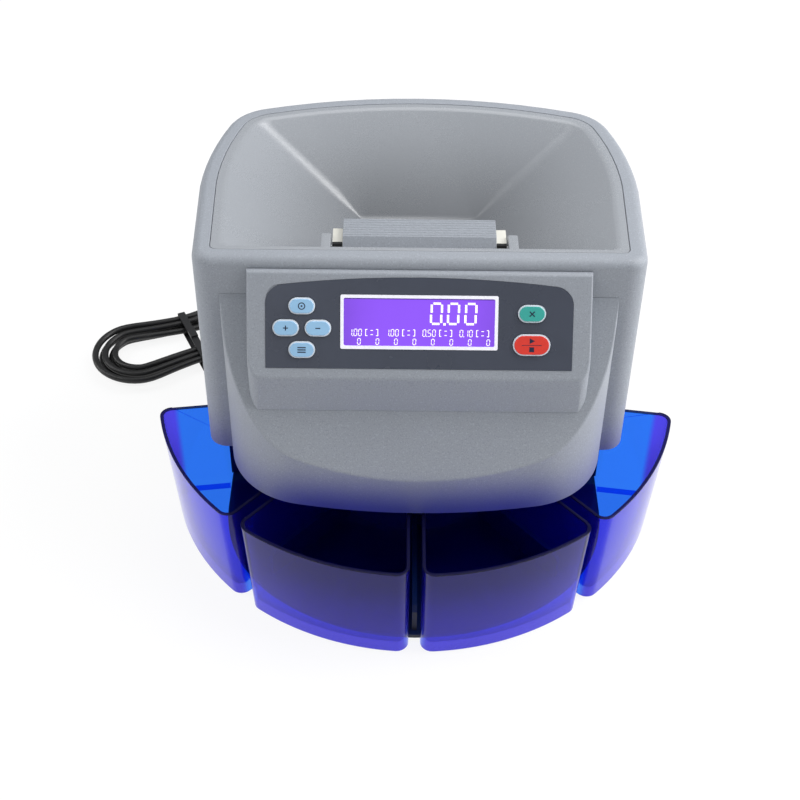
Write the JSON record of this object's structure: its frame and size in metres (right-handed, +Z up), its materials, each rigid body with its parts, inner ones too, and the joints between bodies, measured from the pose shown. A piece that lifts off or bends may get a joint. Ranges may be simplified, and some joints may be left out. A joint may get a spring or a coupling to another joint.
{
  "type": "coin sorter",
  "caption": "Counter-top coin sorter with a wide hopper, a sloping key and display panel, and fan-shaped trays that slide out under a bowed apron.",
  "frame": {"origin": "on the table, under the middle of the machine without its cord", "axes": "+X to the machine's right as its user sees it, +Y to its back, +Z up"},
  "size_m": [0.4345, 0.3839, 0.239],
  "materials": {
    "body_grey": "fine spark texture",
    "dark_base": "moulded, matt",
    "foot_rubber": "matt",
    "overlay_film": "printed film, satin",
    "display_frame": "smooth",
    "display": "backlit display",
    "steel": "plated",
    "circuit_board": "solder mask",
    "black_plastic": "moulded",
    "core_iron": "varnished",
    "bronze": "turned",
    "white_acetal": "smooth",
    "tray_blue": "clear tinted",
    "key_blue": "satin",
    "key_green": "satin",
    "key_red": "satin",
    "cord_jacket": "soft jacket"
  },
  "bodies": {
    "chassis": {"base_pan": "dark_base", "rubber_feet": "foot_rubber", "tray_rails": "dark_base", "gear_case": "dark_base", "rear_base": "dark_base", "upper_housing": "body_grey", "front_apron": "body_grey", "console": "body_grey", "hopper": "body_grey", "panel_overlay": "overlay_film", "lcd_frame": "display_frame", "lcd_glass": "display", "lcd_module": "steel", "key_board": "circuit_board", "key_switches": "black_plastic", "board_screws": "steel", "main_board": "circuit_board", "board_parts": "black_plastic", "transformer": "core_iron", "motor": "steel", "motor_plate": "steel", "shaft_bushes": "bronze", "sorting_deck": "steel", "sorting_fence": "steel", "deck_screws": "steel", "base_screws": "steel", "coin_chute_1": "tray_blue", "coin_chute_2": "tray_blue", "coin_chute_3": "tray_blue", "coin_chute_4": "tray_blue", "coin_sensor_1": "black_plastic", "coin_sensor_2": "black_plastic", "coin_sensor_3": "black_plastic", "coin_sensor_4": "black_plastic", "switch_body": "black_plastic", "guard_pin": "steel", "cord_gland": "black_plastic", "cord_lead": "cord_jacket", "cord_hank": "cord_jacket", "cord_tie": "black_plastic", "cord_tail": "cord_jacket", "plug_body": "black_plastic", "plug_pins": "steel"},
    "sorting_disc_set": {"sorting_disc": "white_acetal", "disc_shaft": "steel", "drive_gear": "white_acetal"},
    "motor_pinion": {"motor_pinion": "bronze"},
    "throat_guard": {"guard_carrier": "white_acetal", "guard_grip": "body_grey"},
    "power_rocker": {"switch_rocker": "black_plastic"},
    "coin_tray_1": {"coin_tray_1": "tray_blue"},
    "coin_tray_2": {"coin_tray_2": "tray_blue"},
    "coin_tray_3": {"coin_tray_3": "tray_blue"},
    "coin_tray_4": {"coin_tray_4": "tray_blue"},
    "key_preset": {"key_preset": "key_blue"},
    "key_plus": {"key_plus": "key_blue"},
    "key_minus": {"key_minus": "key_blue"},
    "key_batch": {"key_batch": "key_blue"},
    "key_clear": {"key_clear": "key_green"},
    "key_start_stop": {"key_start_stop": "key_red"}
  },
  "joints": [
    {"name": "tray_1_slide", "type": "slide", "parent": "chassis", "child": "coin_tray_1", "axis": [-0.8788, -0.4772, 0], "range_m": [0, 0.12]},
    {"name": "tray_2_slide", "type": "slide", "parent": "chassis", "child": "coin_tray_2", "axis": [-0.3502, -0.9367, 0], "range_m": [0, 0.12]},
    {"name": "tray_3_slide", "type": "slide", "parent": "chassis", "child": "coin_tray_3", "axis": [0.3502, -0.9367, 0], "range_m": [0, 0.12]},
    {"name": "tray_4_slide", "type": "slide", "parent": "chassis", "child": "coin_tray_4", "axis": [0.8788, -0.4772, 0], "range_m": [0, 0.12]},
    {"name": "guard_swing", "type": "hinge", "parent": "chassis", "child": "throat_guard", "pos_m": [0, -0.0115, 0.227], "axis": [1, 0, 0], "range_deg": [0, 75]},
    {"name": "key_preset_press", "type": "slide", "parent": "chassis", "child": "key_preset", "axis": [0, 0.8461, -0.5331], "range_m": [0, 0.0008], "stiffness_N_per_m": 1200, "springref_m": -0.0004},
    {"name": "key_plus_press", "type": "slide", "parent": "chassis", "child": "key_plus", "axis": [0, 0.8461, -0.5331], "range_m": [0, 0.0008], "stiffness_N_per_m": 1200, "springref_m": -0.0004},
    {"name": "key_minus_press", "type": "slide", "parent": "chassis", "child": "key_minus", "axis": [0, 0.8461, -0.5331], "range_m": [0, 0.0008], "stiffness_N_per_m": 1200, "springref_m": -0.0004},
    {"name": "key_batch_press", "type": "slide", "parent": "chassis", "child": "key_batch", "axis": [0, 0.8461, -0.5331], "range_m": [0, 0.0008], "stiffness_N_per_m": 1200, "springref_m": -0.0004},
    {"name": "key_clear_press", "type": "slide", "parent": "chassis", "child": "key_clear", "axis": [0, 0.8461, -0.5331], "range_m": [0, 0.0008], "stiffness_N_per_m": 1200, "springref_m": -0.0004},
    {"name": "key_start_stop_press", "type": "slide", "parent": "chassis", "child": "key_start_stop", "axis": [0, 0.8461, -0.5331], "range_m": [0, 0.0008], "stiffness_N_per_m": 1200, "springref_m": -0.0004},
    {"name": "disc_spin", "type": "hinge", "parent": "chassis", "child": "sorting_disc_set", "pos_m": [0, 0.0255, 0.095], "axis": [0, 0, 1], "continuous": true},
    {"name": "pinion_spin", "type": "hinge", "parent": "chassis", "child": "motor_pinion", "pos_m": [0, 0.07175, 0.07], "axis": [0, 0, 1], "continuous": true},
    {"name": "power_rock", "type": "hinge", "parent": "chassis", "child": "power_rocker", "pos_m": [0.062, 0.1385, 0.046], "axis": [1, 0, 0], "range_deg": [0, 16]}
  ],
  "couplings": [
    {"joint": "pinion_spin", "follows": "disc_spin", "ratio": -3.1111}
  ]
}
